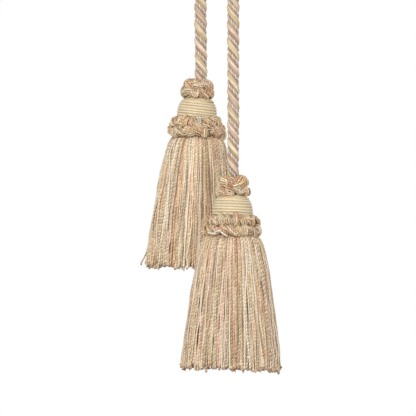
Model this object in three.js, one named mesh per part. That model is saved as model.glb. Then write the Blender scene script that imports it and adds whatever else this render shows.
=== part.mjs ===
import * as THREE from "three";

// A chair tie: one thick twisted cord with a like tassel on each end, hanging from the middle of the cord.
// Each tassel has a looped ruff round its neck, a head wound with yarn, a wider looped ruff round the base
// of the head and a skirt of cut yarns. The right-hand tassel hangs lower and in front, and it presses a
// hollow into the skirt of the left-hand one.
//
// Millimetres, +Z up, +X to the right, the front towards -Y. The origin is the crown of the cord's loop.
// A tassel's own frame has its origin in the middle of the neck ruff's top and its axis down -Z, so a drop
// is -z there.

const GAP = 0.35; // left between one piece and the next

const CORD_DIAMETER = 6.3;
const CORD_SIDES = 10;
const CORD_STEPS = 42;

// The cord's centreline from inside the left neck, over the loop, to inside the right neck.
const CORD_ROUTE = [
  [-8.6, 15.24, -79.4],
  [-8.5, 15.12, -75.0],
  [-8.4, 15.0, -70.3],
  [-8.35, 15.0, -61.0],
  [-8.45, 15.0, -52.0],
  [-8.6, 15.0, -42.0],
  [-8.6, 15.0, -31.0],
  [-8.4, 14.9, -21.0],
  [-7.3, 13.0, -11.7],
  [-4.2, 7.5, -5.4],
  [0.0, 0.0, -3.1],
  [4.2, -7.5, -5.4],
  [7.3, -13.0, -11.7],
  [8.3, -14.9, -21.0],
  [8.35, -15.0, -31.0],
  [8.36, -15.0, -52.0],
  [8.4, -15.0, -76.0],
  [8.4, -15.0, -100.0],
  [8.2, -15.0, -122.5],
  [8.15, -15.08, -127.0],
  [8.1, -15.16, -131.6],
];

// Lean is in degrees: leanLeft swings the hem to -X and leanBack swings it to +Y. Flare is the skirt's
// width against the table, and turn is how far round, in radians, the ruffs and the flutes start.
const LEFT = {
  name: "left",
  neck: [-9.9, 15.0, -70.3],
  leanLeft: 1.9,
  leanBack: 1.5,
  flare: 0.95,
  turn: 0.2,
};
const RIGHT = {
  name: "right",
  neck: [8.2, -15.0, -122.5],
  leanLeft: 0.75,
  leanBack: -1,
  flare: 1,
  turn: 0.9,
};

// The head is wound over a dome that runs down inside the base ruff. Its shoulder curves from the straight
// side to the edge of the low crown that the neck ruff sits on.
const HEAD_RADIUS = 10.7;
const HEAD_TOP = 9.6;
const HEAD_BOTTOM = 30.6;
const HEAD_STATIONS = 36;
const HEAD_CURVE_STEPS = 5;
const SHOULDER = { drop: 18.4, bulge: 14.2 };
const CROWN = { radius: 6.4, drop: 10.3, fullRadius: 8.8, fullDrop: 11.3, flatRadius: 4.6 };

// A ruff's section, from the inside of its top round the outside to the inside of its bottom. Swell is the
// share of the loops' bulge that a point takes, and row 0 is the upper row of loops and row 1 the lower.
const STATIONS_A_LOOP = 4;
const NECK_LOOPS = 13;
const NECK_SWELL = 1.1;
const NECK_HOLE = 5.5; // wider than the cord, which goes in a little to one side of the middle
const NECK_SECTION = [
  { radius: NECK_HOLE, drop: 0.8, swell: 0, row: 0 },
  { radius: 6.4, drop: 0.0, swell: 0.3, row: 0 },
  { radius: 7.5, drop: 1.1, swell: 0.8, row: 0 },
  { radius: 8.3, drop: 2.9, swell: 1, row: 0 },
  { radius: 7.8, drop: 5.0, swell: 0.3, row: 0 },
  { radius: 8.4, drop: 7.1, swell: 1, row: 1 },
  { radius: 8.1, drop: 9.3, swell: 0.7, row: 1 },
  { radius: 6.9, drop: 9.9, swell: 0.2, row: 1 },
  { radius: NECK_HOLE, drop: 9.0, swell: 0, row: 1 },
];

const BASE_LOOPS = 19;
const BASE_SWELL = 1.2;
const BASE_REACH = 15.8;
const BASE_TOP = 19.6;
const BASE_BOTTOM = 31.0;
const BASE_LOOP_RISE = 1.0; // how far the upper loops may stand above the ruff's top
const BASE_SECTION = [
  { radius: HEAD_RADIUS + GAP, drop: BASE_TOP + 0.6, swell: 0, row: 0 },
  { radius: 11.7, drop: BASE_TOP, swell: 0.3, row: 0 },
  { radius: 12.4, drop: 21.0, swell: 0.8, row: 0 },
  { radius: 12.6, drop: 23.0, swell: 1, row: 0 },
  { radius: 12.8, drop: 25.0, swell: 0.4, row: 0 },
  { radius: 14.1, drop: 26.4, swell: 0.8, row: 1 },
  { radius: 14.6, drop: 28.4, swell: 1, row: 1 },
  { radius: 13.8, drop: 30.3, swell: 0.7, row: 1 },
  { radius: 12.3, drop: BASE_BOTTOM, swell: 0.2, row: 1 },
  { radius: HEAD_RADIUS + GAP, drop: 30.6, swell: 0, row: 1 },
];

// The skirt's levels from under the base ruff to the hem. Flute is how far the tufts stand out, as a share
// of the radius. The skirt is a little flatter from front to back than it is wide.
const SKIRT_FLATNESS = 0.9;
const SKIRT_STATIONS = 60;
const SKIRT_TUFTS = 10;
// How far the tufts stray from even places round the skirt, in so many waves round it.
const TUFT_STRAY = [
  { waves: 3, size: 0.7 },
  { waves: 5, size: 0.4 },
];
const SKIRT_LEVELS = [
  { drop: BASE_BOTTOM + GAP, radius: 13.7, flute: 0 },
  { drop: 33.0, radius: 15.1, flute: 0.005 },
  { drop: 37.0, radius: 16.3, flute: 0.01 },
  { drop: 43.0, radius: 17.7, flute: 0.015 },
  { drop: 50.0, radius: 19.0, flute: 0.02 },
  { drop: 58.0, radius: 20.1, flute: 0.025 },
  { drop: 67.0, radius: 21.5, flute: 0.03 },
  { drop: 77.0, radius: 23.0, flute: 0.035 },
  { drop: 87.0, radius: 24.3, flute: 0.04 },
  { drop: 100.0, radius: 25.4, flute: 0.045 },
];
const HEM_NOTCH = 2.2; // how much shorter the skirt is between two tufts
const HEM_WAVE = { waves: 2, size: 0.9 }; // how much the cut wanders on its way round
const HEM_HOLLOW = 2.0; // how far the middle of the hem is drawn up

// The right-hand tassel's half of the hollow that it presses into the skirt behind it.
const PRESS_CLEARANCE = 0.6;

const YARN = {
  cord: { color: "#dcc8a8", roughness: 0.55 },
  head: { color: "#e2cf9f", roughness: 0.6 },
  ruff: { color: "#d6bb98", roughness: 0.75 },
  skirt: { color: "#d9c3a0", roughness: 0.7 },
};

function yarn(name) {
  return new THREE.MeshStandardMaterial({ ...YARN[name], metalness: 0 });
}

// A closed surface through rows of points that each go anticlockwise round the axis, the first row highest.
// Rows that close on themselves make a ring. Otherwise the first and last are capped at middle points.
function closedSurface(rows, caps) {
  const stations = rows[0].length;
  const points = rows.flat();
  const faces = [];
  const last = caps ? rows.length - 1 : rows.length;
  for (let row = 0; row < last; row += 1) {
    const upper = row * stations;
    const lower = ((row + 1) % rows.length) * stations;
    for (let station = 0; station < stations; station += 1) {
      const next = (station + 1) % stations;
      faces.push(upper + station, lower + station, upper + next);
      faces.push(upper + next, lower + station, lower + next);
    }
  }
  if (caps) {
    const [top, bottom] = caps;
    const foot = (rows.length - 1) * stations;
    for (let station = 0; station < stations; station += 1) {
      const next = (station + 1) % stations;
      faces.push(points.length, station, next);
      faces.push(points.length + 1, foot + next, foot + station);
    }
    points.push(top, bottom);
  }
  const geometry = new THREE.BufferGeometry().setFromPoints(points);
  geometry.setIndex(faces);
  geometry.computeVertexNormals();
  return geometry;
}

function around(stations, pointAt) {
  return Array.from({ length: stations }, (_, station) => pointAt((station / stations) * 2 * Math.PI));
}

function onCircle(angle, radius, drop) {
  return new THREE.Vector3(radius * Math.cos(angle), radius * Math.sin(angle), -drop);
}

// Two rows of round loops side by side all the way round, the lower row half a loop further on.
function ruffGeometry(section, loops, swell, turn) {
  const bulge = (angle, row) => Math.abs(Math.sin((loops * (angle + turn)) / 2 + (row * Math.PI) / 2));
  const rows = section.map((edge) =>
    around(loops * STATIONS_A_LOOP, (angle) =>
      onCircle(angle, edge.radius + edge.swell * swell * bulge(angle, edge.row), edge.drop),
    ),
  );
  return closedSurface(rows);
}

// A dome with a low crown under the neck ruff and a straight side inside the base ruff.
function headGeometry() {
  const outline = new THREE.Path();
  outline.moveTo(0, -HEAD_BOTTOM);
  outline.lineTo(HEAD_RADIUS, -HEAD_BOTTOM);
  outline.lineTo(HEAD_RADIUS, -SHOULDER.drop);
  const { radius, drop, fullRadius, fullDrop, flatRadius } = CROWN;
  outline.bezierCurveTo(HEAD_RADIUS, -SHOULDER.bulge, fullRadius, -fullDrop, radius, -drop);
  outline.quadraticCurveTo(flatRadius, -HEAD_TOP, 0, -HEAD_TOP);
  return new THREE.LatheGeometry(outline.getPoints(HEAD_CURVE_STEPS), HEAD_STATIONS).rotateX(Math.PI / 2);
}

function levelAt(drop) {
  const below = SKIRT_LEVELS.findIndex((level) => level.drop >= drop);
  if (below <= 0) {
    return below < 0 ? SKIRT_LEVELS[SKIRT_LEVELS.length - 1] : SKIRT_LEVELS[0];
  }
  const [high, low] = [SKIRT_LEVELS[below - 1], SKIRT_LEVELS[below]];
  const share = (drop - high.drop) / (low.drop - high.drop);
  return {
    radius: THREE.MathUtils.lerp(high.radius, low.radius, share),
    flute: THREE.MathUtils.lerp(high.flute, low.flute, share),
  };
}

// How far a tassel reaches from its own axis at a drop, its loops and tufts included.
function reach(tassel, drop) {
  if (drop < 0) {
    return { radius: CORD_DIAMETER / 2, flatness: 1 };
  }
  if (drop < BASE_TOP - BASE_LOOP_RISE) {
    return { radius: HEAD_RADIUS, flatness: 1 };
  }
  if (drop < SKIRT_LEVELS[1].drop) {
    return { radius: BASE_REACH, flatness: 1 };
  }
  const level = levelAt(drop);
  return { radius: level.radius * tassel.flare * (1 + level.flute), flatness: SKIRT_FLATNESS };
}

// Moves a point of one skirt straight out of the space that the pressing tassel takes up.
function pressedBy(presser, point) {
  const place = point.clone().applyMatrix4(presser.frame.clone().invert());
  const { radius, flatness } = reach(presser, -place.z);
  const distance = Math.hypot(place.x, place.y / flatness);
  const clear = radius + PRESS_CLEARANCE / flatness;
  if (distance < clear) {
    place.x *= clear / distance;
    place.y *= clear / distance;
  }
  return place.applyMatrix4(presser.frame);
}

// A filled bell of hanging yarns, gathered into uneven tufts towards a hem that is notched between them.
function skirtGeometry(tassel, presser) {
  const toTassel = tassel.frame.clone().invert();
  const hem = SKIRT_LEVELS[SKIRT_LEVELS.length - 1];
  const tuft = (angle) => {
    const turned = angle + tassel.turn;
    const stray = TUFT_STRAY.reduce((sum, { waves, size }) => sum + size * Math.sin(waves * turned), 0);
    return Math.cos(SKIRT_TUFTS * turned + stray);
  };
  const settle = (point) =>
    presser ? pressedBy(presser, point.applyMatrix4(tassel.frame)).applyMatrix4(toTassel) : point;
  const rows = SKIRT_LEVELS.map((level) =>
    around(SKIRT_STATIONS, (angle) => {
      const radius = level.radius * tassel.flare * (1 + level.flute * tuft(angle));
      const wave = HEM_WAVE.size * Math.sin(HEM_WAVE.waves * angle + tassel.turn);
      const cut = level === hem ? wave + (HEM_NOTCH / 2) * tuft(angle) : 0;
      const point = onCircle(angle, radius, level.drop + cut);
      point.y *= SKIRT_FLATNESS;
      return settle(point);
    }),
  );
  const top = new THREE.Vector3(0, 0, -SKIRT_LEVELS[0].drop);
  const bottom = new THREE.Vector3(0, 0, HEM_HOLLOW - hem.drop);
  return closedSurface(rows, [top, bottom]);
}

function piece(name, geometry, material) {
  const mesh = new THREE.Mesh(geometry, material);
  mesh.name = name;
  return mesh;
}

function cordMesh() {
  const points = CORD_ROUTE.map((point) => new THREE.Vector3(...point));
  const section = new THREE.Shape(
    around(CORD_SIDES, (angle) => {
      const { x, y } = onCircle(angle, CORD_DIAMETER / 2, 0);
      return new THREE.Vector2(x, y);
    }),
  );
  const geometry = new THREE.ExtrudeGeometry(section, {
    steps: CORD_STEPS,
    bevelEnabled: false,
    extrudePath: new THREE.CatmullRomCurve3(points),
  });
  return piece("cord", geometry, yarn("cord"));
}

function tasselGroup(tassel, presser) {
  const group = new THREE.Group();
  const { name, turn } = tassel;
  group.applyMatrix4(tassel.frame);
  const neckRuff = ruffGeometry(NECK_SECTION, NECK_LOOPS, NECK_SWELL, turn);
  const baseRuff = ruffGeometry(BASE_SECTION, BASE_LOOPS, BASE_SWELL, turn);
  group.add(piece(`neck_ruff_${name}`, neckRuff, yarn("ruff")));
  group.add(piece(`head_${name}`, headGeometry(), yarn("head")));
  group.add(piece(`base_ruff_${name}`, baseRuff, yarn("ruff")));
  group.add(piece(`skirt_${name}`, skirtGeometry(tassel, presser), yarn("skirt")));
  return group;
}

for (const tassel of [LEFT, RIGHT]) {
  const { degToRad } = THREE.MathUtils;
  const lean = new THREE.Euler(degToRad(tassel.leanBack), degToRad(tassel.leanLeft), 0);
  tassel.frame = new THREE.Matrix4().makeRotationFromEuler(lean).setPosition(...tassel.neck);
}

const chairTie = new THREE.Group();
chairTie.add(cordMesh());
chairTie.add(tasselGroup(LEFT, RIGHT));
chairTie.add(tasselGroup(RIGHT));

export default chairTie;
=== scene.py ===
import math

import bpy
import numpy as np
from mathutils import Matrix, Vector


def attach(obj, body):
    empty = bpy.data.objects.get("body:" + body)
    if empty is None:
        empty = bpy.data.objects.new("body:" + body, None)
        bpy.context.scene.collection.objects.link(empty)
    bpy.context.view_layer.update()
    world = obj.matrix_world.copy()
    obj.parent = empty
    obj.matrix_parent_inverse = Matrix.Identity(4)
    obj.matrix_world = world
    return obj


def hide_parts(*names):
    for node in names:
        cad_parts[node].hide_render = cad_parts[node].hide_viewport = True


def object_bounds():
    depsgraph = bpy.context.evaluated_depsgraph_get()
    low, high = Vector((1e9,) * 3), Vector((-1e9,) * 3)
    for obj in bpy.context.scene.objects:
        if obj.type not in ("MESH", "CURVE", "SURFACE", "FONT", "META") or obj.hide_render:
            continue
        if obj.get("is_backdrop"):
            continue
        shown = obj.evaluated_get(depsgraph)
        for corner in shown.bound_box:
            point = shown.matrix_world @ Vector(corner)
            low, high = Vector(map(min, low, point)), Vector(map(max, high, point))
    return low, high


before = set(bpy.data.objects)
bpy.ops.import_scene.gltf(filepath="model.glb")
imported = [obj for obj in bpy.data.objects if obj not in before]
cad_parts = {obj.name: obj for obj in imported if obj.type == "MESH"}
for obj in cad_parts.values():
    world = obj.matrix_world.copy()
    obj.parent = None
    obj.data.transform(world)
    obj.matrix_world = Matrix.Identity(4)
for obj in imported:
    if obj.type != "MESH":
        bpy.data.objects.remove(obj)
cad_low, cad_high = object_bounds()


# ---- The view ----
# The tie hangs free and is seen square on from the front, through a long lens from a little below the
# middle of it, so close that the loop and the hook that would hold it are above the view.
view_width = 0.2172
view_distance = 1.4
view_centre = Vector((-0.00465, 0.0, -0.1386))
view_elevation = math.radians(-1.0)

camera_data = bpy.data.cameras.new("view")
camera_data.sensor_width = 36.0
camera_data.lens = camera_data.sensor_width * view_distance / view_width
camera = bpy.data.objects.new("view", camera_data)
camera.location = view_centre + view_distance * Vector(
    (0.0, -math.cos(view_elevation), math.sin(view_elevation))
)
camera.rotation_euler = (math.pi / 2 - view_elevation, 0.0, 0.0)
bpy.context.scene.collection.objects.link(camera)
bpy.context.scene.camera = camera


# ---- The cord ----
# Four members laid up together: two fat strands of satin yarns, one cream gold and one pinkish beige, and
# between them two thin two-ply fillers in lilac grey. The cord hangs over a hook by its middle, and each
# end runs down into the neck of a tassel.
cord_diameter = 0.0063
cord_route = [
    (-0.00860, 0.01524, -0.0794),
    (-0.00850, 0.01512, -0.0750),
    (-0.00840, 0.01500, -0.0703),
    (-0.00835, 0.01500, -0.0610),
    (-0.00845, 0.01500, -0.0520),
    (-0.00860, 0.01500, -0.0420),
    (-0.00860, 0.01500, -0.0310),
    (-0.00840, 0.01490, -0.0210),
    (-0.00730, 0.01300, -0.0117),
    (-0.00420, 0.00750, -0.0054),
    (0.00000, 0.00000, -0.0031),
    (0.00420, -0.00750, -0.0054),
    (0.00730, -0.01300, -0.0117),
    (0.00830, -0.01490, -0.0210),
    (0.00835, -0.01500, -0.0310),
    (0.00836, -0.01500, -0.0520),
    (0.00840, -0.01500, -0.0760),
    (0.00840, -0.01500, -0.1000),
    (0.00820, -0.01500, -0.1225),
    (0.00815, -0.01508, -0.1270),
    (0.00810, -0.01516, -0.1316),
]
cord_lead = 0.0172  # a strand goes once round the cord in this length
cord_step = 0.0008
filler_step = 0.00035
cord_start_turn = -0.098
loop_slack = 0.368  # turns that the lay opens by where the cord bends over the hook
loop_from, loop_to = 0.055, 0.115

fat_radius, fat_out, fat_wide = 0.00162, 0.00174, 0.00168
fat_yarns = 9
fat_scallop = 0.13
fat_lead = 0.09
cord_fullness = (1.05, 0.96)  # how full the cord is at its left-hand and its right-hand end
core_radius = 0.0022  # the laid-in core that shows between the members, brown as painted shade there
fat_dyes = {
    "gold": [
        "#dccbab", "#ccb691", "#e8dabf", "#d2bc98", "#e3d2b1",
        "#c7ae88", "#dac7a4", "#e9dcc2", "#ccb48e",
    ],
    "rose": [
        "#d9c2ab", "#c8ab92", "#e6d2bd", "#cfb49c", "#dec6ae",
        "#c1a187", "#d7bfa7", "#e7d5c1", "#c9ac94",
    ],
}
filler_radius, ply_radius, ply_offset, ply_lead = 0.00228, 0.00050, 0.00040, 0.0033
shade_and_tip_brown = "#907a5f"  # the brown painted as shade under and between yarns and plies, and the brown of cut tips


def unit(vectors):
    return vectors / np.linalg.norm(vectors, axis=-1, keepdims=True)


def smooth_line(points, step):
    """A centripetal curve through the points, in places an even step apart."""
    points = np.array(points, float)
    ends = [2 * points[0] - points[1], 2 * points[-1] - points[-2]]
    points = np.vstack([ends[0], points, ends[1]])
    knots = np.concatenate([[0], np.cumsum(np.linalg.norm(np.diff(points, axis=0), axis=1) ** 0.5)])
    places = []
    for first in range(len(points) - 3):
        p0, p1, p2, p3 = points[first : first + 4]
        t0, t1, t2, t3 = knots[first : first + 4]
        t = np.linspace(t1, t2, 40, endpoint=False)[:, None]
        a1 = ((t1 - t) * p0 + (t - t0) * p1) / (t1 - t0)
        a2 = ((t2 - t) * p1 + (t - t1) * p2) / (t2 - t1)
        a3 = ((t3 - t) * p2 + (t - t2) * p3) / (t3 - t2)
        b1 = ((t2 - t) * a1 + (t - t0) * a2) / (t2 - t0)
        b2 = ((t3 - t) * a2 + (t - t1) * a3) / (t3 - t1)
        places.append(((t2 - t) * b1 + (t - t1) * b2) / (t2 - t1))
    places.append(points[-2:-1])
    places = np.vstack(places)
    travel = np.concatenate([[0], np.cumsum(np.linalg.norm(np.diff(places, axis=0), axis=1))])
    even = np.linspace(0, travel[-1], int(travel[-1] / step) + 1)
    return np.column_stack([np.interp(even, travel, places[:, axis]) for axis in range(3)])


def lengths_along(line):
    return np.concatenate([[0], np.cumsum(np.linalg.norm(np.diff(line, axis=0), axis=1))])


def facing(line, reference):
    """Two directions square to a line: side keeps as near to the reference as it can, and out is across
    both."""
    along = unit(np.gradient(line, axis=0))
    side = unit(reference - along * np.sum(reference * along, axis=1, keepdims=True))
    return np.cross(side, along), side


def wind(line, out, side, radius, turns):
    """The line of a member wound round another line, with its own out and side directions."""
    angle = 2 * math.pi * np.asarray(turns)[:, None]
    direction = out * np.cos(angle) + side * np.sin(angle)
    wound = line + radius * direction
    along = unit(np.gradient(wound, axis=0))
    own_out = unit(direction - along * np.sum(direction * along, axis=1, keepdims=True))
    return wound, own_out, np.cross(along, own_out)


def round_section(sides, wide=1.0, high=1.0, lobes=0, depth=0.0):
    """Points round a yarn's section: an oval with an even number of lobes or scallops in it."""
    angle = np.arange(sides) / sides * 2 * math.pi
    swell = 1 - depth * (0.5 - 0.5 * np.cos(lobes * angle))
    return np.column_stack([high * np.cos(angle) * swell, wide * np.sin(angle) * swell])


def tube(line, out, side, section, turns=0.0, thickness=1.0):
    """Rings of points along a line. The section turns by turns and grows by thickness on its way."""
    angle = 2 * math.pi * np.broadcast_to(turns, len(line))[:, None]
    size = np.broadcast_to(thickness, len(line))[:, None]
    x, y = section[:, 0][None], section[:, 1][None]
    high = size * (x * np.cos(angle) - y * np.sin(angle))
    wide = size * (x * np.sin(angle) + y * np.cos(angle))
    return line[:, None] + out[:, None] * high[..., None] + side[:, None] * wide[..., None]


def paint(code):
    """A colour as a dyer's card would name it, turned into the linear values that a material takes."""
    shares = [int(code[place : place + 2], 16) / 255 for place in (1, 3, 5)]
    return np.array([c / 12.92 if c <= 0.04045 else ((c + 0.055) / 1.055) ** 2.4 for c in shares])


class YarnMesh:
    """Many yarns gathered into one mesh. Each is a tube with closed ends that keeps its own colours, and a
    map of its surface in turns round it and millimetres along it. The fourth value of a colour is how much
    the plies of the yarn differ."""

    def __init__(self):
        self.places, self.corners, self.counts, self.wears = [], [], [], []
        self.tints, self.maps, self.spans = [], [], []
        self.points = 0

    def add(self, rings, colour, contrast=0.0, start=0.0, twist=1.0, wear=0):
        count, sides = rings.shape[:2]
        index = self.points + np.arange(count * sides).reshape(count, sides)
        after = np.roll(index, -1, axis=1)
        quads = np.stack([index[:-1], index[1:], after[1:], after[:-1]], axis=-1).reshape(-1)
        self.places.append(rings.reshape(-1, 3))
        self.corners.append(np.concatenate([quads, index[0], index[-1][::-1]]))
        self.counts.append(np.append(np.full(len(quads) // 4, 4), [sides, sides]))
        self.wears.append(np.full(len(quads) // 4 + 2, wear))
        turn = np.broadcast_to(np.arange(sides) / sides - start, (count, sides))
        far = np.broadcast_to(lengths_along(rings.mean(axis=1))[:, None] * 1000 * twist, (count, sides))
        turns = np.stack([turn[:-1], turn[1:], turn[1:] + 1 / sides, turn[:-1] + 1 / sides], axis=-1)
        fars = np.stack([far[:-1], far[1:], far[1:], far[:-1]], axis=-1)
        ends = np.concatenate([turn[0], turn[-1][::-1]])
        end_map = np.column_stack([ends, np.repeat([far[0, 0], far[-1, 0]], sides)])
        self.maps.append(np.concatenate([np.stack([turns, fars], axis=-1).reshape(-1, 2), end_map]))
        self.spans.append((len(quads), sides, far[-1, 0], start))
        colour = np.asarray(colour, float)
        tint = np.empty((count, sides, 4))
        tint[..., :3] = colour if colour.ndim == 3 else colour.reshape(-1, 1, 3)
        tint[..., 3] = contrast
        self.tints.append(tint.reshape(-1, 4))
        self.points += count * sides

    def strips(self):
        """A map on which no yarns lie on each other: a strip for each yarn, with its ends beyond it."""
        laid = []
        width = 1 / len(self.spans)
        longest = max(span[2] for span in self.spans)
        for place, (corners, sides, _, start) in enumerate(self.spans):
            strip = self.maps[place][:corners] + [start, 0]
            strip = strip * [0.9 * width, 0.97 / longest] + [place * width, 0]
            angle = np.arange(sides) / sides * 2 * math.pi
            disc = np.column_stack([0.2 * width * np.cos(angle), 0.008 * np.sin(angle)])
            first = disc + [(place + 0.25) * width, 0.985]
            last = disc[::-1] + [(place + 0.7) * width, 0.985]
            laid += [strip, first, last]
        return np.concatenate(laid)

    def piece(self, name, *finishes):
        """The gathered yarns as an object with that name and those materials."""
        counts = np.concatenate(self.counts)
        corners = np.concatenate(self.corners)
        mesh = bpy.data.meshes.new(name)
        mesh.vertices.add(self.points)
        mesh.vertices.foreach_set("co", np.concatenate(self.places).astype(np.float32).ravel())
        mesh.loops.add(len(corners))
        mesh.loops.foreach_set("vertex_index", corners.astype(np.int32))
        mesh.polygons.add(len(counts))
        mesh.polygons.foreach_set("loop_start", (np.cumsum(counts) - counts).astype(np.int32))
        mesh.polygons.foreach_set("material_index", np.concatenate(self.wears).astype(np.int32))
        mesh.polygons.foreach_set("use_smooth", np.ones(len(counts), bool))
        mesh.update(calc_edges=True)
        for map_name, places in (("yarn", np.concatenate(self.maps)), ("OFBake", self.strips())):
            laid = mesh.uv_layers.new(name=map_name)
            laid.uv.foreach_set("vector", places.astype(np.float32).ravel())
        tint = mesh.color_attributes.new(name="tint", type="FLOAT_COLOR", domain="POINT")
        tint.data.foreach_set("color", np.concatenate(self.tints).astype(np.float32).ravel())
        for finish in finishes:
            mesh.materials.append(finish)
        made = bpy.data.objects.new(name, mesh)
        bpy.context.scene.collection.objects.link(made)
        return made


def painted_underside_shade(sides, depth, turns=(0.0,), slowness=1.2):
    """Painted shade on a yarn's section: darker and browner from its top to its underside, where less light
    reaches, on a section that has turned by those turns."""
    angle = np.arange(sides) / sides + np.asarray(turns)[:, None]
    under = (0.5 - 0.5 * np.cos(angle * 2 * math.pi)) ** slowness
    return 1 - depth * under[..., None] * (1 - paint(shade_and_tip_brown))


class Value:
    """A number socket of a material, so that shader maths is written as an expression."""

    def __init__(self, finish, socket):
        self.finish, self.socket = finish, socket

    def maths(self, operation, *values):
        return self.finish.node("ShaderNodeMath", {"operation": operation}, *values).value()

    def __add__(self, other):
        return self.maths("ADD", self, other)

    def __sub__(self, other):
        return self.maths("SUBTRACT", self, other)

    def __mul__(self, other):
        return self.maths("MULTIPLY", self, other)

    def __pow__(self, other):
        return self.maths("POWER", self, other)

    def __rsub__(self, other):
        return self.maths("SUBTRACT", other, self)

    def __abs__(self):
        return self.maths("ABSOLUTE", self)

    def cosine(self):
        return self.maths("COSINE", self)

    __radd__, __rmul__ = __add__, __mul__


class Node:
    """A node of a finish. Its outputs are read by name."""

    def __init__(self, finish, made):
        self.finish, self.made = finish, made

    def __getitem__(self, name):
        return next(socket for socket in self.made.outputs if socket.enabled and socket.name == name)

    def value(self, name=0):
        return Value(self.finish, self.made.outputs[name])


class Finish:
    """A material made of nodes round one surface shader."""

    def __init__(self, name, **settings):
        self.material = bpy.data.materials.new(name)
        self.material.use_nodes = True
        self.tree = self.material.node_tree
        self.surface = self.tree.nodes["Principled BSDF"]
        for socket, value in settings.items():
            self.surface.inputs[socket.replace("_", " ")].default_value = value

    def node(self, kind, settings=None, *places, **named):
        """Adds a node: its settings first, then what its sockets hold or link to, by place or by name."""
        made = self.tree.nodes.new(kind)
        for setting, value in (settings or {}).items():
            setattr(made, setting, value)
        for place, held in enumerate(places):
            self.join(made.inputs[place], held)
        sockets = {socket.name.replace(" ", "_"): socket for socket in made.inputs if socket.enabled}
        for name, held in named.items():
            self.join(sockets[name], held)
        return Node(self, made)

    def join(self, socket, held):
        if isinstance(held, Value):
            held = held.socket
        if isinstance(held, bpy.types.NodeSocket):
            self.tree.links.new(held, socket)
        else:
            socket.default_value = held


def yarn_finish(name, plies, lead, groove_shade, fibre, bump, roughness, sheen):
    """Yarn of so many plies that go round it once in the lead, in millimetres: its own dye, lower between
    the plies and painted there with shade, darker and browner, the whole yarn a little lighter to make up
    for that painted shade, every second ply paler where the dye says so, and fine fibres along it."""
    finish = Finish(
        name,
        Sheen_Weight=sheen,
        Sheen_Roughness=0.45,
        Sheen_Tint=(1.0, 0.93, 0.82, 1.0),
        Specular_IOR_Level=0.5,
    )
    dye = finish.node("ShaderNodeAttribute", {"attribute_name": "tint"})
    spot = finish.node("ShaderNodeUVMap", {"uv_map": "yarn"})
    parts = finish.node("ShaderNodeSeparateXYZ", None, spot["UV"])
    around, along = parts.value("X"), parts.value("Y")
    wound = around - along * (1 / lead) if lead else around
    ridge = abs((wound * (math.pi * plies)).cosine()) ** 1.7
    shade_depth = dye.value("Alpha") * (4 * groove_shade) + 0.4 * groove_shade
    paler = (wound * (math.pi * plies) + 0.6).cosine() * dye.value("Alpha")
    hair_spot = finish.node("ShaderNodeCombineXYZ", None, wound * 9.0, along * 0.9, 0.0)
    hairs = finish.node("ShaderNodeTexNoise", None, Vector=hair_spot["Vector"], Scale=2.2, Detail=3.0)
    uneven = finish.node("ShaderNodeTexNoise", None, Vector=spot["UV"], Scale=0.6, Detail=1.0)
    hair, drift = hairs.value("Fac"), uneven.value("Fac")
    light = paler + (hair - 0.5) * fibre + (drift - 0.5) * 0.36 + shade_depth * 0.45 + 1
    brown = [*paint(shade_and_tip_brown), 1.0]
    deep = finish.node(
        "ShaderNodeMix",
        {"data_type": "RGBA", "blend_type": "MULTIPLY"},
        Factor=(1 - ridge) * shade_depth,
        A=dye["Color"],
        B=brown,
    )
    dyed_and_shaded = finish.node("ShaderNodeVectorMath", {"operation": "SCALE"}, deep["Result"], Scale=light)
    finish.join(finish.surface.inputs["Base Color"], dyed_and_shaded["Vector"])
    finish.join(finish.surface.inputs["Roughness"], roughness + (hair - 0.5) * 0.2)
    height = ridge * 0.7 + hair * 0.3
    lift = finish.node("ShaderNodeBump", None, Strength=bump, Distance=0.0002, Height=height)
    finish.join(finish.surface.inputs["Normal"], lift["Normal"])
    return finish.material


def laid_cord(step):
    """The cord's middle in places a step apart, its own directions there, and how far its lay has
    turned."""
    line = smooth_line(cord_route, step)
    far = lengths_along(line)
    out, side = facing(line, unit(np.cross(line[0] - line[-1], (0.0, 0.0, 1.0))))
    share = np.clip((far - loop_from) / (loop_to - loop_from), 0, 1)
    turns = cord_start_turn - far / cord_lead + loop_slack * share**2 * (3 - 2 * share)
    return line, out, side, far, turns, np.interp(far, (0, far[-1]), cord_fullness)[:, None]


cord_line, cord_out, cord_side, cord_far, cord_turns, full = laid_cord(cord_step)
cord_yarns = YarnMesh()
fat_section = round_section(fat_yarns * 4, fat_wide, fat_out, fat_yarns, fat_scallop)
for quarter, codes in ((0.0, fat_dyes["gold"]), (0.5, fat_dyes["rose"])):
    strand = wind(cord_line, cord_out, cord_side, fat_radius * full, cord_turns + quarter)
    yarn_of_side = (np.arange(fat_yarns * 4) + 2) // 4 % fat_yarns
    tints = np.array([paint(code) for code in codes])[yarn_of_side]
    # Painted shade: the fat strands' flanks and undersides darker and browner, each strand a little lighter
    # overall.
    tone_and_shade = painted_underside_shade(fat_yarns * 4, 1.0, cord_far / fat_lead, 0.85) * 1.08
    cord_yarns.add(tube(*strand, fat_section, cord_far / fat_lead, full[:, 0]), tints[None] * tone_and_shade)
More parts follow.
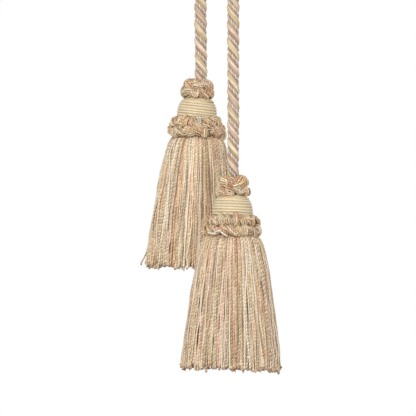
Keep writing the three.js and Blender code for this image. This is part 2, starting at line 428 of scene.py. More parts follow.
# The core is real; its brown is painted shade for the valleys between the members.
core = tube(cord_line, cord_out, cord_side, round_section(12, core_radius, core_radius), 0.0, full[:, 0])
cord_yarns.add(core, paint("#b0946f"))
ply_section = round_section(6, ply_radius, ply_radius)
line, out, side, _, turns, full = laid_cord(filler_step)
for quarter in (0.25, 0.75):
    filler = wind(line, out, side, filler_radius * full, turns + quarter)
    far = lengths_along(filler[0])
    for half, code in ((0.0, "#f0e3da"), (0.5, "#dfcbb9")):
        ply = wind(*filler, ply_offset, far / ply_lead + half)
        # Painted shade on the filler plies' flanks and undersides.
        tone_and_shade = painted_underside_shade(6, 1.0, far / ply_lead + half)
        cord_yarns.add(tube(*ply, ply_section), paint(code) * tone_and_shade, wear=1)

satin_finish = yarn_finish("satin_strand", fat_yarns, 0, 1.1, 0.35, 0.5, 0.45, 0.2)
filler_finish = yarn_finish("filler_ply", 2, 1.6, 0.4, 0.30, 0.4, 0.5, 0.25)
cord = cord_yarns.piece("twisted_cord", satin_finish, filler_finish)
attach(cord, "root")
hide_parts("cord")


# ---- Where the tassels hang ----
# Two like tassels are made on the ends of the cord. The left-hand one hangs higher and further back. The
# right-hand one lies against its skirt and pushes the yarns there aside.
class Tassel:
    """A tassel's own frame has its origin in the middle of the neck ruff's top and its axis down -Z. Flare
    is its skirt's width against the table and paleness its yarns' lightness against theirs. Shoulder is how
    far the top of the skirt swells to the right."""

    def __init__(
        self,
        name,
        neck,
        lean_left,
        lean_back,
        flare,
        shoulder,
        winding_tilt,
        hem_tilt,
        paleness,
        neck_narrowing,
        seed,
    ):
        self.name, self.neck, self.seed = name, np.array(neck), seed
        self.flare, self.shoulder, self.paleness = flare, shoulder, paleness
        self.winding_tilt, self.hem_tilt, self.neck_narrowing = winding_tilt, hem_tilt, neck_narrowing
        sideways = Matrix.Rotation(math.radians(lean_left), 3, "Y")
        self.lean = np.array(Matrix.Rotation(math.radians(lean_back), 3, "X") @ sideways)

    def hang(self, places):
        return places @ self.lean.T + self.neck

    def unhang(self, places):
        return (places - self.neck) @ self.lean


left = Tassel(
    "left",
    neck=(-0.0099, 0.0150, -0.0703),
    lean_left=1.9,
    lean_back=1.5,
    flare=0.95,
    shoulder=0.0008,
    winding_tilt=0.0006,
    hem_tilt=0.0,
    paleness=(1.095, 1.08, 1.035),
    neck_narrowing=0.0009,
    seed=11,
)
right = Tassel(
    "right",
    neck=(0.0082, -0.0150, -0.1225),
    lean_left=0.75,
    lean_back=-1.0,
    flare=1.0,
    shoulder=0.0,
    winding_tilt=0.0,
    hem_tilt=0.0008,
    paleness=(1.045, 0.995, 0.965),
    neck_narrowing=0.0,
    seed=29,
)
tassels = (left, right)


# ---- The heads ----
# Each head is a dome closely wound with cream gold yarn. Fine yarn is wound criss-cross over the shoulder,
# and a thicker yarn lies in even turns round the side, down to where the base ruff hides it.
head_radius, head_top, head_bottom = 0.0107, 0.0096, 0.0306
crown_radius, crown_drop, shoulder_drop = 0.0058, 0.0103, 0.0184
full_radius, full_drop, bulge_drop = 0.0085, 0.0112, 0.0142
side_from, side_to = 0.00305, 0.0168  # how far down the dome's outline the thick yarn starts and stops
side_pitch, side_high, side_wide, side_steps = 0.00144, 0.00048, 0.00054, 56
thin_yarn, thin_depth = 0.00030, 0.00015  # lies in the valley between two turns of the thick yarn
winding_stray = 0.00006
mould_inset, mould_sides = 0.0007, 40
fine_from, fine_yarn = 0.0006, 0.00033
fine_turns = [
    # pitch, how much they tilt, where they start, depth, dye
    (0.00050, 0.0003, 0.3, 1.5, "#dac399"),
    (0.00095, -0.0006, 2.9, 0.9, "#e6d5b1"),
]


def eased(points, count):
    """A cubic curve from the first of four points to the last."""
    t = np.linspace(0, 1, count)[:, None]
    p0, p1, p2, p3 = np.array(points)
    return p0 * (1 - t) ** 3 + 3 * p1 * t * (1 - t) ** 2 + 3 * p2 * t**2 * (1 - t) + p3 * t**3


def on_ring(angle, radius, drop):
    drop = np.broadcast_to(drop, len(angle))
    return np.column_stack([radius * np.cos(angle), radius * np.sin(angle), -drop])


def turned(radius, drop, sides):
    """The rings of a solid of revolution about the tassel's axis."""
    angle = -np.arange(sides) / sides * 2 * math.pi
    circle = on_ring(angle, 1.0, 0.0)
    return circle[None] * np.asarray(radius)[:, None, None] - np.asarray(drop)[:, None, None] * [0, 0, 1]


dome_outline = eased(
    [
        (crown_radius, crown_drop),
        (full_radius, full_drop),
        (head_radius, bulge_drop),
        (head_radius, shoulder_drop),
    ],
    24,
)
dome_outline = np.vstack([dome_outline, [(head_radius, head_bottom)]])
dome_far = lengths_along(dome_outline)


def on_dome(far, angle, depth):
    """Places at a depth under the dome's outline, that far down it from the crown."""
    radius, drop = (np.interp(far, dome_far, dome_outline[:, axis]) for axis in (0, 1))
    ahead = np.column_stack([np.interp(far + 0.0003, dome_far, dome_outline[:, axis]) for axis in (0, 1)])
    slope = unit(ahead - np.column_stack([radius, drop]))
    out = on_ring(angle, slope[:, 1], slope[:, 0])
    return on_ring(angle, radius, drop) - depth * out, out


def wound_turns(far, angle, depth, high, wide):
    line, out = on_dome(far, angle, depth)
    side, out = facing(line, out)
    return tube(line, out, -side, round_section(10, wide, high))


winding_finish = yarn_finish("winding_yarn", 3, 1.9, 0.16, 0.22, 0.2, 0.5, 0.2)
for tassel in tassels:
    rng = np.random.default_rng(tassel.seed)
    winding = YarnMesh()
    dome = np.vstack([[(0.0, head_top)], dome_outline, [(0.0, head_bottom)]])[1:-1]
    inner = turned(dome[:, 0] - mould_inset, dome[:, 1] + 0.0001, mould_sides)
    winding.add(tassel.hang(inner), paint("#c9ae80"))
    turns = (side_to - side_from) / side_pitch
    angle = np.linspace(0, 2 * math.pi * turns, int(side_steps * turns))
    far = side_from + side_pitch * angle / (2 * math.pi)
    far = far + winding_stray * np.sin(angle * 1.7 + tassel.seed) + tassel.winding_tilt * np.cos(angle)
    rings = wound_turns(far, angle, side_high, side_high, side_wide)
    winding.add(tassel.hang(rings), paint("#e9dbbc"), contrast=0.03)
    rings = wound_turns(far - side_pitch / 2, angle, side_high + thin_depth, thin_yarn, thin_yarn)
    winding.add(tassel.hang(rings), paint("#ccae80"), contrast=0.10)
    for pitch, tilt, start, depth, code in fine_turns:
        turns = (side_from + side_pitch * 0.3 - fine_from) / pitch
        angle = np.linspace(0, 2 * math.pi * turns, int(40 * turns))
        wave = tilt * np.sin(angle * 1.04 + start)
        far = np.clip(fine_from + pitch * angle / (2 * math.pi) + wave, 0, None)
        rings = wound_turns(far, angle + start, fine_yarn * depth, fine_yarn, fine_yarn * 1.05)
        winding.add(tassel.hang(rings), paint(code), contrast=0.03)
    head = winding.piece(f"wound_head_{tassel.name}", winding_finish)
    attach(head, "root")
    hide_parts(f"head_{tassel.name}")


# ---- The skirts ----
# Each skirt is a deep cut fringe of two-ply yarns that is bound round the base of the head. Its yarns are
# peach, cream, tan and silver in no order, and they part into uneven locks towards the hem.
skirt_levels = [
    # drop, radius
    (0.0280, 0.0112),
    (0.0312, 0.0132),
    (0.0332, 0.0150),
    (0.0370, 0.0163),
    (0.0430, 0.0177),
    (0.0500, 0.0190),
    (0.0580, 0.0201),
    (0.0670, 0.0215),
    (0.0770, 0.0230),
    (0.0870, 0.0243),
    (0.1000, 0.0254),
]
skirt_flatness = 0.9
hem_drop = 0.0992
yarn_radius, yarn_lead, yarn_lobe = 0.00041, 0.0035, 0.20
press_soft = 0.006  # how deep the pushed yarns are squeezed together
press_gap = 0.0004
ruff_top, ruff_bottom, ruff_reach = 0.0188, 0.0325, 0.0158  # the base ruff, as it presses on a skirt
swell_drop, swell_long = 0.037, 0.009  # where the top of a skirt swells to the right, and over how much
lock_sway, lock_lift = 0.017, 0.0003  # how far locks part, round the skirt and outwards
yarn_stray, yarn_lift, lift_wave, sway_wave = 0.0008, 0.00032, 0.00024, 0.012
lean_much, lean_little = 0.085, 0.020  # half of the yarns hang askew, the others nearly straight
tip_long = 0.0020
yarn_dyes = [
    # dye, share, how much its two plies differ, thickness
    ("#e4caae", 0.26, 0.13, 1.00),
    ("#d3b695", 0.15, 0.14, 1.00),
    ("#ebdfc6", 0.21, 0.09, 0.95),
    ("#e0cfab", 0.11, 0.13, 0.95),
    ("#c9b9a1", 0.09, 0.19, 1.20),
    ("#c6aa88", 0.07, 0.18, 1.15),
    ("#f3ecdc", 0.07, 0.03, 0.85),
    ("#e5c9b3", 0.04, 0.13, 1.00),
]
skirt_layers = {
    # yarns, part of the way round that they take, first angle, inset, fullness, looseness, sides, step
    "front": (104, 0.5, -1.0, 0.0, 1.0, 1.0, 6, 0.00065),
    "back": (68, 0.5, 0.0, 0.0, 1.42, 1.0, 5, 0.0007),
    "under": (140, 1.0, 0.0, 0.0008, 1.70, 0.5, 5, 0.0022),
    "inner": (80, 1.0, 0.0, 0.0020, 2.2, 0.2, 5, 0.0040),
}
buried = 0.0006  # how much deeper every second yarn starts under the ruff
laid_yarns = [
    # skirt, dye, thickness, how far its end stands out, then degrees round from the front at some drops
    ("right", "#f6eedc", 0.85, 0.0, (-68.0, 0.040), (-67.5, 0.087)),
    ("right", "#f6eedc", 0.85, 0.0, (-50.0, 0.058), (-42.0, 0.080), (-39.0, 0.098)),
    ("right", "#f1e7d2", 0.75, 0.0, (-12.6, 0.050), (-15.8, 0.068), (-11.2, 0.080), (-10.5, 0.100)),
    ("right", "#f1e6cf", 0.90, 0.0, (-23.9, 0.034), (-24.5, 0.052)),
    ("right", "#f1e3c6", 1.10, 0.0, (-2.4, 0.068), (-1.2, 0.097)),
    ("right", "#f3ead6", 1.00, 0.0, (25.0, 0.042), (16.5, 0.070), (17.0, 0.080)),
    ("right", "#f1e3c6", 1.35, 0.0, (20.0, 0.084), (23.0, 0.100)),
    ("right", "#f4ead2", 0.90, 0.0, (33.0, 0.040), (36.0, 0.066)),
    ("right", "#f3ead6", 0.85, 0.0, (47.0, 0.066), (46.0, 0.098)),
    ("right", "#f1e6cf", 1.10, 0.0, (46.0, 0.034), (49.0, 0.052)),
    ("right", "#cfc0a8", 1.30, 0.0, (-57.3, 0.060), (-57.0, 0.080)),
    ("right", "#cfc0a8", 1.40, 0.0, (-22.6, 0.060), (-17.8, 0.100)),
    ("right", "#cdbb9e", 1.25, 0.0, (13.2, 0.055), (9.7, 0.087), (9.2, 0.094)),
    ("right", "#cfc0a8", 1.35, 0.0, (29.0, 0.058), (22.0, 0.084), (17.5, 0.100)),
    ("right", "#b99a76", 1.00, 0.0, (39.4, 0.079), (42.5, 0.095)),
    # The dark brown yarns are painted shade: they stand in the shaded gaps between locks.
    ("right", "#a98868", 0.80, 0.0, (-35.0, 0.060), (-33.0, 0.078)),
    ("right", "#a98868", 0.80, 0.0, (-6.0, 0.052), (-5.0, 0.064)),
    ("right", "#a98868", 0.80, 0.0, (31.0, 0.064), (33.0, 0.090)),
    ("left", "#f3ead6", 0.85, 0.0, (-68.0, 0.060), (-52.0, 0.090)),
    ("left", "#f6eedc", 0.85, 0.0, (-57.0, 0.038), (-45.0, 0.050), (-37.6, 0.080)),
    ("left", "#f0e4cb", 1.10, 0.0, (-13.0, 0.031), (-10.0, 0.044)),
    ("left", "#cdbb9e", 1.30, 0.0, (-14.0, 0.052), (-20.0, 0.085)),
    ("left", "#f4ead2", 0.80, 0.0, (9.5, 0.043), (8.0, 0.082)),
    # These dark brown yarns are painted shade: the shade that the right-hand tassel casts beside it, and a
    # shaded gap between locks.
    ("left", "#a98868", 1.00, 0.0, (12.5, 0.035), (12.0, 0.074)),
    ("left", "#a88c69", 1.20, 0.0, (20.0, 0.036), (22.0, 0.077)),
    ("left", "#a38160", 0.90, 0.0, (25.0, 0.042), (27.0, 0.080)),
    ("left", "#a98868", 0.80, 0.0, (-28.0, 0.044), (-30.0, 0.062)),
    ("left", "#f0e4cb", 1.10, 0.0, (62.0, 0.034), (49.0, 0.054)),
    ("left", "#e0cfb4", 1.00, 0.0028, (-86.0, 0.088), (-88.0, 0.100)),
]
laid_fade, laid_depth = 0.005, 0.0009  # how it comes up from among the others: length and depth
laid_lift, laid_bend = 0.0002, 0.010  # how it lies on them, and in what length its end bends out
core_top, core_spacing, core_step, core_sides = 0.033, 0.0021, 0.0090, 5

skirt_outline = smooth_line([(drop, radius, 0.0) for drop, radius in skirt_levels], 0.0005)


def skirt_radius(drop):
    return np.interp(drop, skirt_outline[:, 0], skirt_outline[:, 1])


def pushed(line, presser):
    """A yarn of one skirt, moved softly out of the space that the other tassel takes up."""
    own = presser.unhang(line)
    drop = -own[:, 2]
    own[:, 1] /= skirt_flatness
    reach = np.where(drop < ruff_bottom, ruff_reach, skirt_radius(drop))
    reach = np.where(drop < ruff_top, head_radius, reach)
    reach = np.where(drop < 0, cord_diameter / 2, reach) + press_gap
    distance = np.linalg.norm(own[:, :2], axis=1)
    limit = reach + press_soft
    moved = reach + press_soft * (np.minimum(distance, limit) / limit) ** (limit / press_soft)
    own[:, :2] *= (np.where(distance < limit, moved, distance) / distance)[:, None]
    own[:, 1] *= skirt_flatness
    return presser.hang(own)


def dealt_dyes(rng, count):
    """A dye for each of so many yarns side by side, dealt out by the dyes' shares."""
    shares = np.array([share for _, share, _, _ in yarn_dyes])
    dealt = [yarn_dyes[rng.choice(len(yarn_dyes), p=shares / shares.sum())] for _ in range(count)]
    return [(paint(code), contrast, thickness) for code, _, contrast, thickness in dealt]


def wander(rng, share, size):
    """A smooth wandering to and fro of about that size along a yarn."""
    bends = ((1.5, 1.0), (3.7, 0.8), (7.1, 0.6), (13.3, 0.4))
    waves = [
        rng.normal(0, part) * np.sin(share * rate * math.pi + rng.uniform(0, 6))
        for rate, part in bends
    ]
    return size * sum(waves)


def brown_tip_and_shade(tip, sides, bulb):
    """How a yarn's dye deepens towards the brown, knotted or frayed tip of its cut end, times painted shade
    that darkens the flanks and underside of its section.
    """
    brown = (0.9 if bulb > 0.5 else 0.45) * tip[:, None, None] ** 2
    return (1 - brown * (1 - paint(shade_and_tip_brown))) * painted_underside_shade(sides, 0.9)


def hanging_line(tassel, angle, radius, drop):
    line = on_ring(angle, radius, drop)
    line[:, 1] *= skirt_flatness
    line = tassel.hang(line)
    return pushed(line, right) if tassel is left else line


def two_ply(line, outward, sides, radius, start, twist, bulb):
    """A twisted pair of plies along a line, with a cut end that opens into a soft tip."""
    far = lengths_along(line)
    side, out = facing(line, outward)
    angle = np.arange(sides) / sides * 2 * math.pi
    turned_far = far[:, None] * twist / yarn_lead + start
    lobes = 1 + yarn_lobe * np.cos(2 * (angle - 2 * math.pi * turned_far))
    tip = np.clip(1 - (far[-1] - far) / tip_long, 0, 1)
    size = radius * lobes * (1 + bulb * np.sin(math.pi * tip) - 0.25 * tip**4)[:, None]
    high, wide = size * np.cos(angle), size * np.sin(angle)
    return line[:, None] + out[:, None] * high[..., None] - side[:, None] * wide[..., None], tip


skirt_finish = yarn_finish("skirt_yarn", 2, yarn_lead * 1000, 0.6, 0.5, 0.6, 0.45, 0.15)
for tassel in tassels:
    rng = np.random.default_rng(tassel.seed + 1)
    top = skirt_levels[0][0]
    for layer, (count, part, first, inset, full, loose, sides, step) in skirt_layers.items():
        gathered = YarnMesh()
        locks = np.searchsorted(np.cumsum(rng.integers(2, 7, count)), np.arange(count))
        lock_drift = rng.normal(0, lock_sway, count)[locks]
        lock_stand = rng.normal(0, lock_lift, count)[locks]
        lock_start = rng.uniform(0.15, 0.6, count)[locks]
        lock_shade = rng.uniform(0.93, 1.05, count)[locks]
        for place, (dye, contrast, thickness) in enumerate(dealt_dyes(rng, count)):
            angle = first * math.pi + (place + rng.uniform(-0.35, 0.35)) / count * part * 2 * math.pi
            end = hem_drop + rng.normal(0, yarn_stray) - 0.3 * inset + tassel.hem_tilt * math.cos(angle)
            drop = np.linspace(top, end, int((end - top) / step) + 2)
            share = (drop - top) / (hem_drop - top)
            spread = np.clip((share - lock_start[place]) / (1 - lock_start[place]), 0, 1) ** 1.3
            lean = rng.normal(0, lean_much) if rng.random() < 0.5 else rng.normal(0, lean_little)
            swayed = wander(rng, share, sway_wave) * share**0.5
            strayed = spread * lock_drift[place] + lean * share + swayed
            angle = angle + loose * strayed
            stand = rng.normal(0, yarn_lift) + wander(rng, share, lift_wave) + lock_stand[place] * share
            stand = stand - buried * (place % 2) * (1 - share) ** 3
            radius = skirt_radius(drop) * tassel.flare - yarn_radius - inset + stand
            swell = np.exp(-(((drop - swell_drop) / swell_long) ** 2))
            radius = radius + tassel.shoulder * np.cos(angle) * swell
            line = hanging_line(tassel, angle, radius, drop)
            outward = on_ring(angle, 1.0, 0.0)
            start, twist = rng.uniform(0, 1), rng.uniform(0.8, 1.3)
            bulb = 0.9 if rng.random() < 0.28 else 0.3
            thick = yarn_radius * full * thickness * rng.uniform(0.8, 1.12)
            rings, tip = two_ply(line, outward, sides, thick, start, twist, bulb)
            # The lock's and the yarn's random lightness, the brown of its cut tip, and painted shade on its
            # flanks and underside.
            tone_and_shade = lock_shade[place] * rng.uniform(0.90, 1.08) * brown_tip_and_shade(tip, sides, bulb)
            gathered.add(rings, dye * tassel.paleness * tone_and_shade, contrast, start, twist)
        laid = laid_yarns if layer == "front" else []
        for _, code, thickness, stand_out, *way in [yarn for yarn in laid if yarn[0] == tassel.name]:
            degrees, drops = np.array(way).T
            drop = np.linspace(top, hem_drop, int((hem_drop - top) / step) + 2)
            angle = np.radians(np.interp(drop, drops, degrees) - 90) + wander(rng, drop * 10, 0.003)
            away = np.maximum(drops[0] - drop, drop - drops[-1]) / laid_fade
            radius = skirt_radius(drop) * tassel.flare - laid_depth * np.clip(away + 0.5, 0, 1)
            radius = radius + stand_out * np.clip((drop - drops[0]) / laid_bend, 0, 1) ** 2
            line = hanging_line(tassel, angle, radius + laid_lift, drop)
            rings, tip = two_ply(line, on_ring(angle, 1.0, 0.0), 6, yarn_radius * thickness, 0, 1, 0.2)
            gathered.add(rings, paint(code) * brown_tip_and_shade(tip, 6, 0.2), 0.2 if thickness > 1.2 else 0.05)
        if layer == "inner":
            inner = skirt_levels[-1][1] * tassel.flare - inset - core_spacing
            for ring_radius in np.arange(inner, core_spacing / 2, -core_spacing):
                around = int(2 * math.pi * ring_radius / core_spacing)
                for place, (dye, contrast, _) in enumerate(dealt_dyes(rng, around)):
                    end = hem_drop - inset * 0.3 - rng.uniform(0, 0.002)
                    drop = np.linspace(core_top, end, int((end - core_top) / core_step) + 2)
                    angle = (place + rng.uniform(-0.3, 0.3)) / around * 2 * math.pi + 0 * drop
                    radius = skirt_radius(drop) * (ring_radius / skirt_levels[-1][1])
                    line = hanging_line(tassel, angle, radius, drop)
                    outward = on_ring(angle, 1.0, 0.0)
                    rings, tip = two_ply(line, outward, core_sides, yarn_radius * 1.1, 0, 1, 0.2)
                    # Painted shade: the inner yarns are a tenth darker, deep inside the skirt.
                    gathered.add(rings, dye * 0.9, contrast)
        made = gathered.piece(f"skirt_yarns_{tassel.name}_{layer}", skirt_finish)
        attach(made, "root")
        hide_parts(f"skirt_{tassel.name}")


# ---- The ruffs ----
# A ruff is a band of looped yarn, two rows of loops one above the other. Each loop is a bundle of a few
# soft yarns that is laid as a slanting strap, puffed out or curled up. A small ruff is sewn round the neck
# and a wide one round the base of the head, where it hides the top of the skirt.
ruff_rows = [
    # ruff, loops, drop, radius, bulge
    ("neck", 12, 0.0028, 0.0065, 0.0024),
    ("neck", 12, 0.0071, 0.0069, 0.0027),
    ("base", 19, 0.0226, 0.0113, 0.0026),
    ("base", 19, 0.0279, 0.0124, 0.0034),
]
ruff_rings = {
    # drop and radius of the band that the loops are sewn to
    "neck": [(0.0008, 0.0050), (0.0022, 0.0068), (0.0050, 0.0066), (0.0078, 0.0070), (0.0092, 0.0056)],
    "base": [(0.0202, 0.0108), (0.0218, 0.0116), (0.0252, 0.0118), (0.0284, 0.0126), (0.0304, 0.0116)],
}
front_loops = {
    # degrees round from the front, drop, kind, slant in degrees from upright, size, dye
    ("left", "neck"): [
        (-46, 0.0073, "puff", -75, 1.45, "grey"),
        (-24, 0.0074, "puff", 20, 0.8, "rose"),
        (-44, 0.0030, "puff", 40, 1.35, "fawn"),
        (-84, 0.0068, "puff", 0, 1.3, "grey"),
        (-19, 0.0018, "puff", -10, 0.7, "fawn"),
        (1, 0.0036, "strap", 84, 1.05, "ivory"),
        (31, 0.0024, "strap", 80, 0.8, "cream"),
        (56, 0.0034, "puff", 60, 1.2, "rose"),
        (84, 0.0040, "puff", 10, 1.25, "fawn"),
        (-4, 0.0083, "strap", -30, 0.8, "ivory"),
        (16, 0.0076, "puff", 25, 0.85, "rose"),
        (46, 0.0070, "puff", -20, 1.2, "fawn"),
        (34, 0.0094, "strap", 40, 0.7, "cream"),
        (70, 0.0076, "puff", 20, 0.9, "rose"),
    ],
    ("left", "base"): [
        (-56, 0.0224, "puff", -20, 1.0, "cream"),
        (-56, 0.0282, "puff", 10, 1.2, "grey"),
        (-41, 0.0256, "puff", 0, 0.75, "fawn"),
        (-36, 0.0234, "strap", 30, 0.9, "cream"),
        (-24, 0.0232, "strap", -12, 0.95, "fawn"),
        (-27, 0.0274, "strap", -35, 0.95, "cream"),
        (-12, 0.0270, "curl", 0, 0.9, "fawn"),
        (-10, 0.0290, "strap", -68, 0.75, "ivory"),
        (-8, 0.0234, "strap", 25, 0.95, "rose"),
        (4, 0.0286, "puff", 70, 0.85, "fawn"),
        (5, 0.0258, "strap", 45, 1.1, "ivory"),
        (10, 0.0212, "strap", 86, 0.85, "ivory"),
        (23, 0.0284, "puff", 0, 1.1, "cream"),
        (21, 0.0252, "strap", 70, 0.8, "rose"),
        (33, 0.0232, "strap", 42, 1.0, "rose"),
        (50, 0.0220, "puff", 60, 1.1, "cream"),
        (54, 0.0276, "puff", 25, 1.3, "rose"),
        (73, 0.0234, "puff", 20, 1.4, "cream"),
        (80, 0.0290, "puff", 0, 1.55, "cream"),
    ],
    ("right", "neck"): [
        (-72, 0.0032, "puff", 35, 1.15, "cream"),
        (-42, 0.0029, "puff", 70, 1.15, "cream"),
        (-6, 0.0029, "puff", 65, 1.1, "rose"),
        (37, 0.0028, "puff", -35, 1.4, "gold"),
        (62, 0.0036, "puff", 0, 1.05, "rose"),
        (16, 0.0048, "strap", 20, 0.7, "fawn"),
        (-70, 0.0080, "puff", 0, 1.1, "fawn"),
        (-46, 0.0074, "puff", 60, 0.95, "cream"),
        (-14, 0.0074, "puff", 65, 0.95, "fawn"),
        (12, 0.0068, "puff", 20, 0.7, "grey"),
        (-45, 0.0096, "strap", 86, 0.8, "rose"),
        (-12, 0.0096, "strap", -82, 0.8, "rose"),
        (22, 0.0082, "strap", 35, 0.75, "grey"),
        (38, 0.0074, "puff", -60, 1.0, "grey"),
        (57, 0.0080, "puff", 10, 1.05, "fawn"),
    ],
    ("right", "base"): [
        (-63, 0.0237, "puff", 0, 0.9, "cream"),
        (-45, 0.0233, "puff", -8, 0.95, "ivory"),
        (-27, 0.0235, "puff", 5, 0.95, "ivory"),
        (-11, 0.0231, "puff", 10, 0.85, "rose"),
        (5, 0.0239, "puff", 0, 0.95, "ivory"),
        (20, 0.0243, "puff", 25, 0.85, "cream"),
        (35, 0.0232, "puff", 15, 0.9, "cream"),
        (54, 0.0238, "puff", 10, 1.1, "fawn"),
        (-60, 0.0280, "strap", 50, 1.0, "cream"),
        (-41, 0.0274, "strap", 62, 1.05, "rose"),
        (-20, 0.0280, "strap", 44, 1.15, "fawn"),
        (0, 0.0282, "strap", 44, 1.15, "rose"),
        (16, 0.0284, "strap", 30, 1.05, "cream"),
        (31, 0.0280, "strap", 5, 1.0, "ivory"),
        (7, 0.0302, "puff", 70, 0.6, "rose"),
        (47, 0.0276, "strap", 70, 0.9, "cream"),
        (61, 0.0292, "puff", 5, 1.15, "grey"),
        (82, 0.0280, "puff", 10, 1.3, "rose"),
        (-46, 0.0297, "wisp", 84, 1.3, "white"),
        (-30, 0.0291, "wisp", 118, 0.95, "white"),
        (-18, 0.0297, "wisp", 50, 1.05, "white"),
    ],
}
front_reach = 72  # degrees to each side that those loops fill
loop_yarn, loop_gap, loop_sides, loop_steps = 0.00045, 0.00088, 6, 12
loop_shapes = {
    # kind: half length, width at its first end, its middle and its last end, yarns on top and beneath
    "strap": (0.0028, 0.55, 1.05, 0.55, 4, 3),
    "puff": (0.0024, 0.35, 1.20, 0.60, 4, 4),
    "wisp": (0.0022, 0.8, 1.2, 0.8, 1, 0),
}
wisps = {"neck": 6, "base": 36}
wisp_colours, wisp_stand = ["cream", "rose", "fawn"], 0.95
ruff_warmth = (1.03, 1.015, 1.0)
loop_colours = ["fawn", "cream", "ivory", "grey", "rose", "gold"]  # of the loops that lie anyhow
low_loops = 0.55  # how far the loops beneath those of the front stand out, against the others
curl_reach, curl_turns = 0.0021, 1.9
loop_dyes = {
    "fawn": ["#dab893", "#e8cba6", "#cda582", "#ecd8b6", "#d8b592"],
    "cream": ["#efdfbe", "#e6cfa6", "#efe2c6", "#dcbd94", "#ecd9b4"],
    "ivory": ["#efe3cb", "#efdfc0", "#e6cda6", "#eee0c4"],
    "white": ["#efe6d2"],
    "grey": ["#d8c8ae", "#dccdb2", "#cbb08c", "#e6d8bd", "#d2b893"],
    "rose": ["#e3c1a2", "#ebcfb2", "#d5b192", "#efdcc2", "#deb896"],
    "gold": ["#dfbf8b", "#e9cd9d", "#cda97a", "#efdcb2"],
}


def loop_lines(kind, slant, size, bulge, rng):
    """The yarns of a loop, each as places across, down and out from the middle of the loop's foot."""
    if kind == "curl":
        t = np.linspace(0, 1, int(11 * curl_turns))
        tilt = Matrix.Rotation(rng.normal(0, 0.3), 3, "X") @ Matrix.Rotation(rng.normal(0, 0.3), 3, "Y")
        angle = rng.uniform(0, 2 * math.pi) + t * curl_turns * 2 * math.pi * rng.choice([-1, 1])
        reach = curl_reach * size * (1 - 0.93 * t)
        ring = np.column_stack([np.cos(angle), np.sin(angle), 0 * t]) * reach[:, None] @ np.array(tilt).T
        ring[:, 2] += bulge * (0.6 + 0.3 * t - 0.6 * (1 - t) ** 8 - 0.5 * t**9)
        return [ring, ring * 0.9 - [0, 0, 1.9 * loop_yarn]]
    half_long, first, middle, last, above, beneath = loop_shapes[kind]
    t = np.linspace(0, 1, loop_steps)
    ahead = np.array([math.sin(slant), math.cos(slant), 0.0])
    across = np.array([math.cos(slant), -math.sin(slant), 0.0])
    ends, arch = -np.cos(math.pi * t)[:, None], np.sin(math.pi * t)[:, None]
    spread = first + (last - first) * t + (middle - (first + last) / 2) * arch[:, 0]
    swing = rng.normal(0, 0.5) * arch[:, 0]
    lines = []
    for yarns, depth in ((above, 0.0), (beneath, 2.0 * loop_yarn)):
        count = round(yarns * size)
        for place in np.arange(count) - (count - 1) / 2:
            place = place + rng.uniform(-0.15, 0.15)
            rim = 1 - (place / max(above * size, 2) * 1.7) ** 2 * 1.1
            twisted = swing + rng.normal(0, 0.12) * np.sin(2 * math.pi * t)
            sideways = ((place * spread + twisted) * loop_gap)[:, None] * across
            lengthways = ends * half_long * size * (0.82 + 0.18 * rim) * ahead
            top = bulge * size**0.5 * rim * rng.uniform(0.85, 1.08) - depth
            flatness, lift = (0.35, 0.25 * bulge) if kind == "wisp" else (0.7, 0.0)
            height = (top + lift) * arch**flatness - 0.3 * bulge
            lines.append(sideways + lengthways + height * [0, 0, 1])
    return lines


def round_band(places, angle, radius, drop):
    """Places across, down and out from a point of the band, bent round the tassel's axis."""
    return on_ring(angle + places[:, 0] / radius, radius + places[:, 2], drop + places[:, 1])


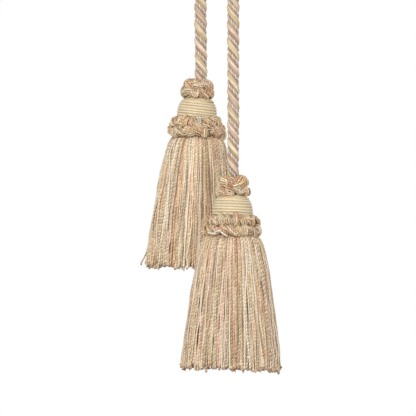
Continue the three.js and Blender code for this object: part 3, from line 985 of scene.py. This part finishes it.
ruff_finish = yarn_finish("ruff_yarn", 2, 2.8, 0.43, 0.40, 0.6, 0.6, 0.2)
for tassel in tassels:
    for ruff in ("neck", "base"):
        rng = np.random.default_rng(tassel.seed + 2 + len(ruff) * (ruff == "base"))
        gathered = YarnMesh()
        drops, radii = np.array(ruff_rings[ruff]).T
        # The band is painted a shade brown: it shows only in the gaps between the loops.
        gathered.add(tassel.hang(turned(radii, drops, 48)), paint("#8f7657"))
        rows = np.array([row[1:] for row in ruff_rows if row[0] == ruff])
        placed = front_loops[tassel.name, ruff]
        loops = [(math.radians(degrees), *loop, 1.0) for degrees, *loop in placed]
        for row, (count, drop, _, _) in enumerate(rows):
            for place in np.arange(count):
                turn = (place + 0.5 * row + rng.uniform(-0.12, 0.12)) / count * 2 * math.pi - math.pi
                kind = rng.choice(["strap", "puff", "curl"], p=[0.5, 0.35, 0.15])
                slant, dye = rng.normal(35 + 20 * row, 25), rng.choice(loop_colours)
                low = low_loops if abs(turn) < math.radians(front_reach) else 1
                size = rng.uniform(0.9, 1.15)
                loops.append((turn, drop + rng.normal(0, 0.0003), kind, slant, size, dye, low))
        for _ in range(wisps[ruff]):
            drop = rng.uniform(rows[0, 1] - 0.001, rows[1, 1] + 0.0015)
            dye, size = rng.choice(wisp_colours), rng.uniform(0.7, 1.1)
            turn, slant = rng.uniform(-math.pi, math.pi), rng.uniform(-30, 120)
            loops.append((turn, drop, "wisp", slant, size, dye, wisp_stand))
        for turn, drop, kind, slant, size, dye, stand in loops:
            radius, bulge = (np.interp(drop, rows[:, 1], rows[:, column]) for column in (2, 3))
            if ruff == "neck":
                radius = radius - tassel.neck_narrowing * (rows[1, 1] - drop) / (rows[1, 1] - rows[0, 1])
            for line in loop_lines(kind, math.radians(slant), size, bulge * stand, rng):
                places = round_band(line, turn - math.pi / 2, radius, drop)
                foot = on_ring(np.full(len(line), turn - math.pi / 2), 1.0, 0.0)
                side, out = facing(places, foot)
                thick = loop_yarn * rng.uniform(0.88, 1.08) * min(size, 1) ** 0.5
                rings = tube(places, out, -side, round_section(loop_sides, thick, thick))
                # Painted shade: each yarn darker and browner on its underside and towards the foot of its
                # loop, where shade falls between loops.
                height = np.clip((line[:, 2] / bulge + 0.3) / 1.2, 0, 1)[:, None, None]
                dyed_and_shaded = paint(rng.choice(loop_dyes[dye])) * rng.uniform(0.90, 1.10)
                dyed_and_shaded = dyed_and_shaded * ruff_warmth * painted_underside_shade(loop_sides, 0.65)
                dyed_and_shaded = dyed_and_shaded * (1 - 0.8 * (1 - height) ** 2 * (1 - paint(shade_and_tip_brown)))
                gathered.add(tassel.hang(rings), dyed_and_shaded, 0.12, rng.uniform(0, 1))
        made = gathered.piece(f"looped_{ruff}_ruff_{tassel.name}", ruff_finish)
        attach(made, "root")
        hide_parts(f"{ruff}_ruff_{tassel.name}")


# ---- The light and the ground ----
# A bright plain room: soft light from everywhere with a broad lamp in front, over a white floor.
def lamp(name, place, size, power):
    data = bpy.data.lights.new(name, "AREA")
    data.size = size
    data.energy = power
    made = bpy.data.objects.new(name, data)
    made.location = place
    made.rotation_euler = (view_centre - Vector(place)).to_track_quat("-Z", "Y").to_euler()
    bpy.context.scene.collection.objects.link(made)


lamp("front_lamp", (-0.22, -1.58, 0.6), 0.9, 17.0)

world = bpy.data.worlds.new("room")
world.use_nodes = True
bpy.context.scene.world = world
room = world.node_tree
rays = room.nodes.new("ShaderNodeLightPath")
seen = room.nodes.new("ShaderNodeMath")
seen.operation = "MAXIMUM"
room.links.new(rays.outputs["Is Camera Ray"], seen.inputs[0])
room.links.new(rays.outputs["Is Glossy Ray"], seen.inputs[1])
strength = room.nodes.new("ShaderNodeMapRange")
strength.inputs["To Min"].default_value = 0.5
strength.inputs["To Max"].default_value = 1.0
room.links.new(seen.outputs[0], strength.inputs["Value"])
room.links.new(strength.outputs[0], room.nodes["Background"].inputs["Strength"])
room.nodes["Background"].inputs["Color"].default_value = (1.0, 1.0, 1.0, 1.0)

floor_drop = 0.12
floor_size = 3.0
bpy.ops.mesh.primitive_plane_add(size=floor_size, location=(0, 0, cad_low.z - floor_drop))
floor = bpy.context.object
floor.name = "floor"
floor_finish = Finish("floor_paint", Roughness=0.9)
floor_finish.surface.inputs["Base Color"].default_value = (0.9, 0.9, 0.9, 1.0)
floor.data.materials.append(floor_finish.material)
floor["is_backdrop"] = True

bpy.context.scene.view_settings.view_transform = "Standard"

# ---- Sizes ----
low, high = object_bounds()
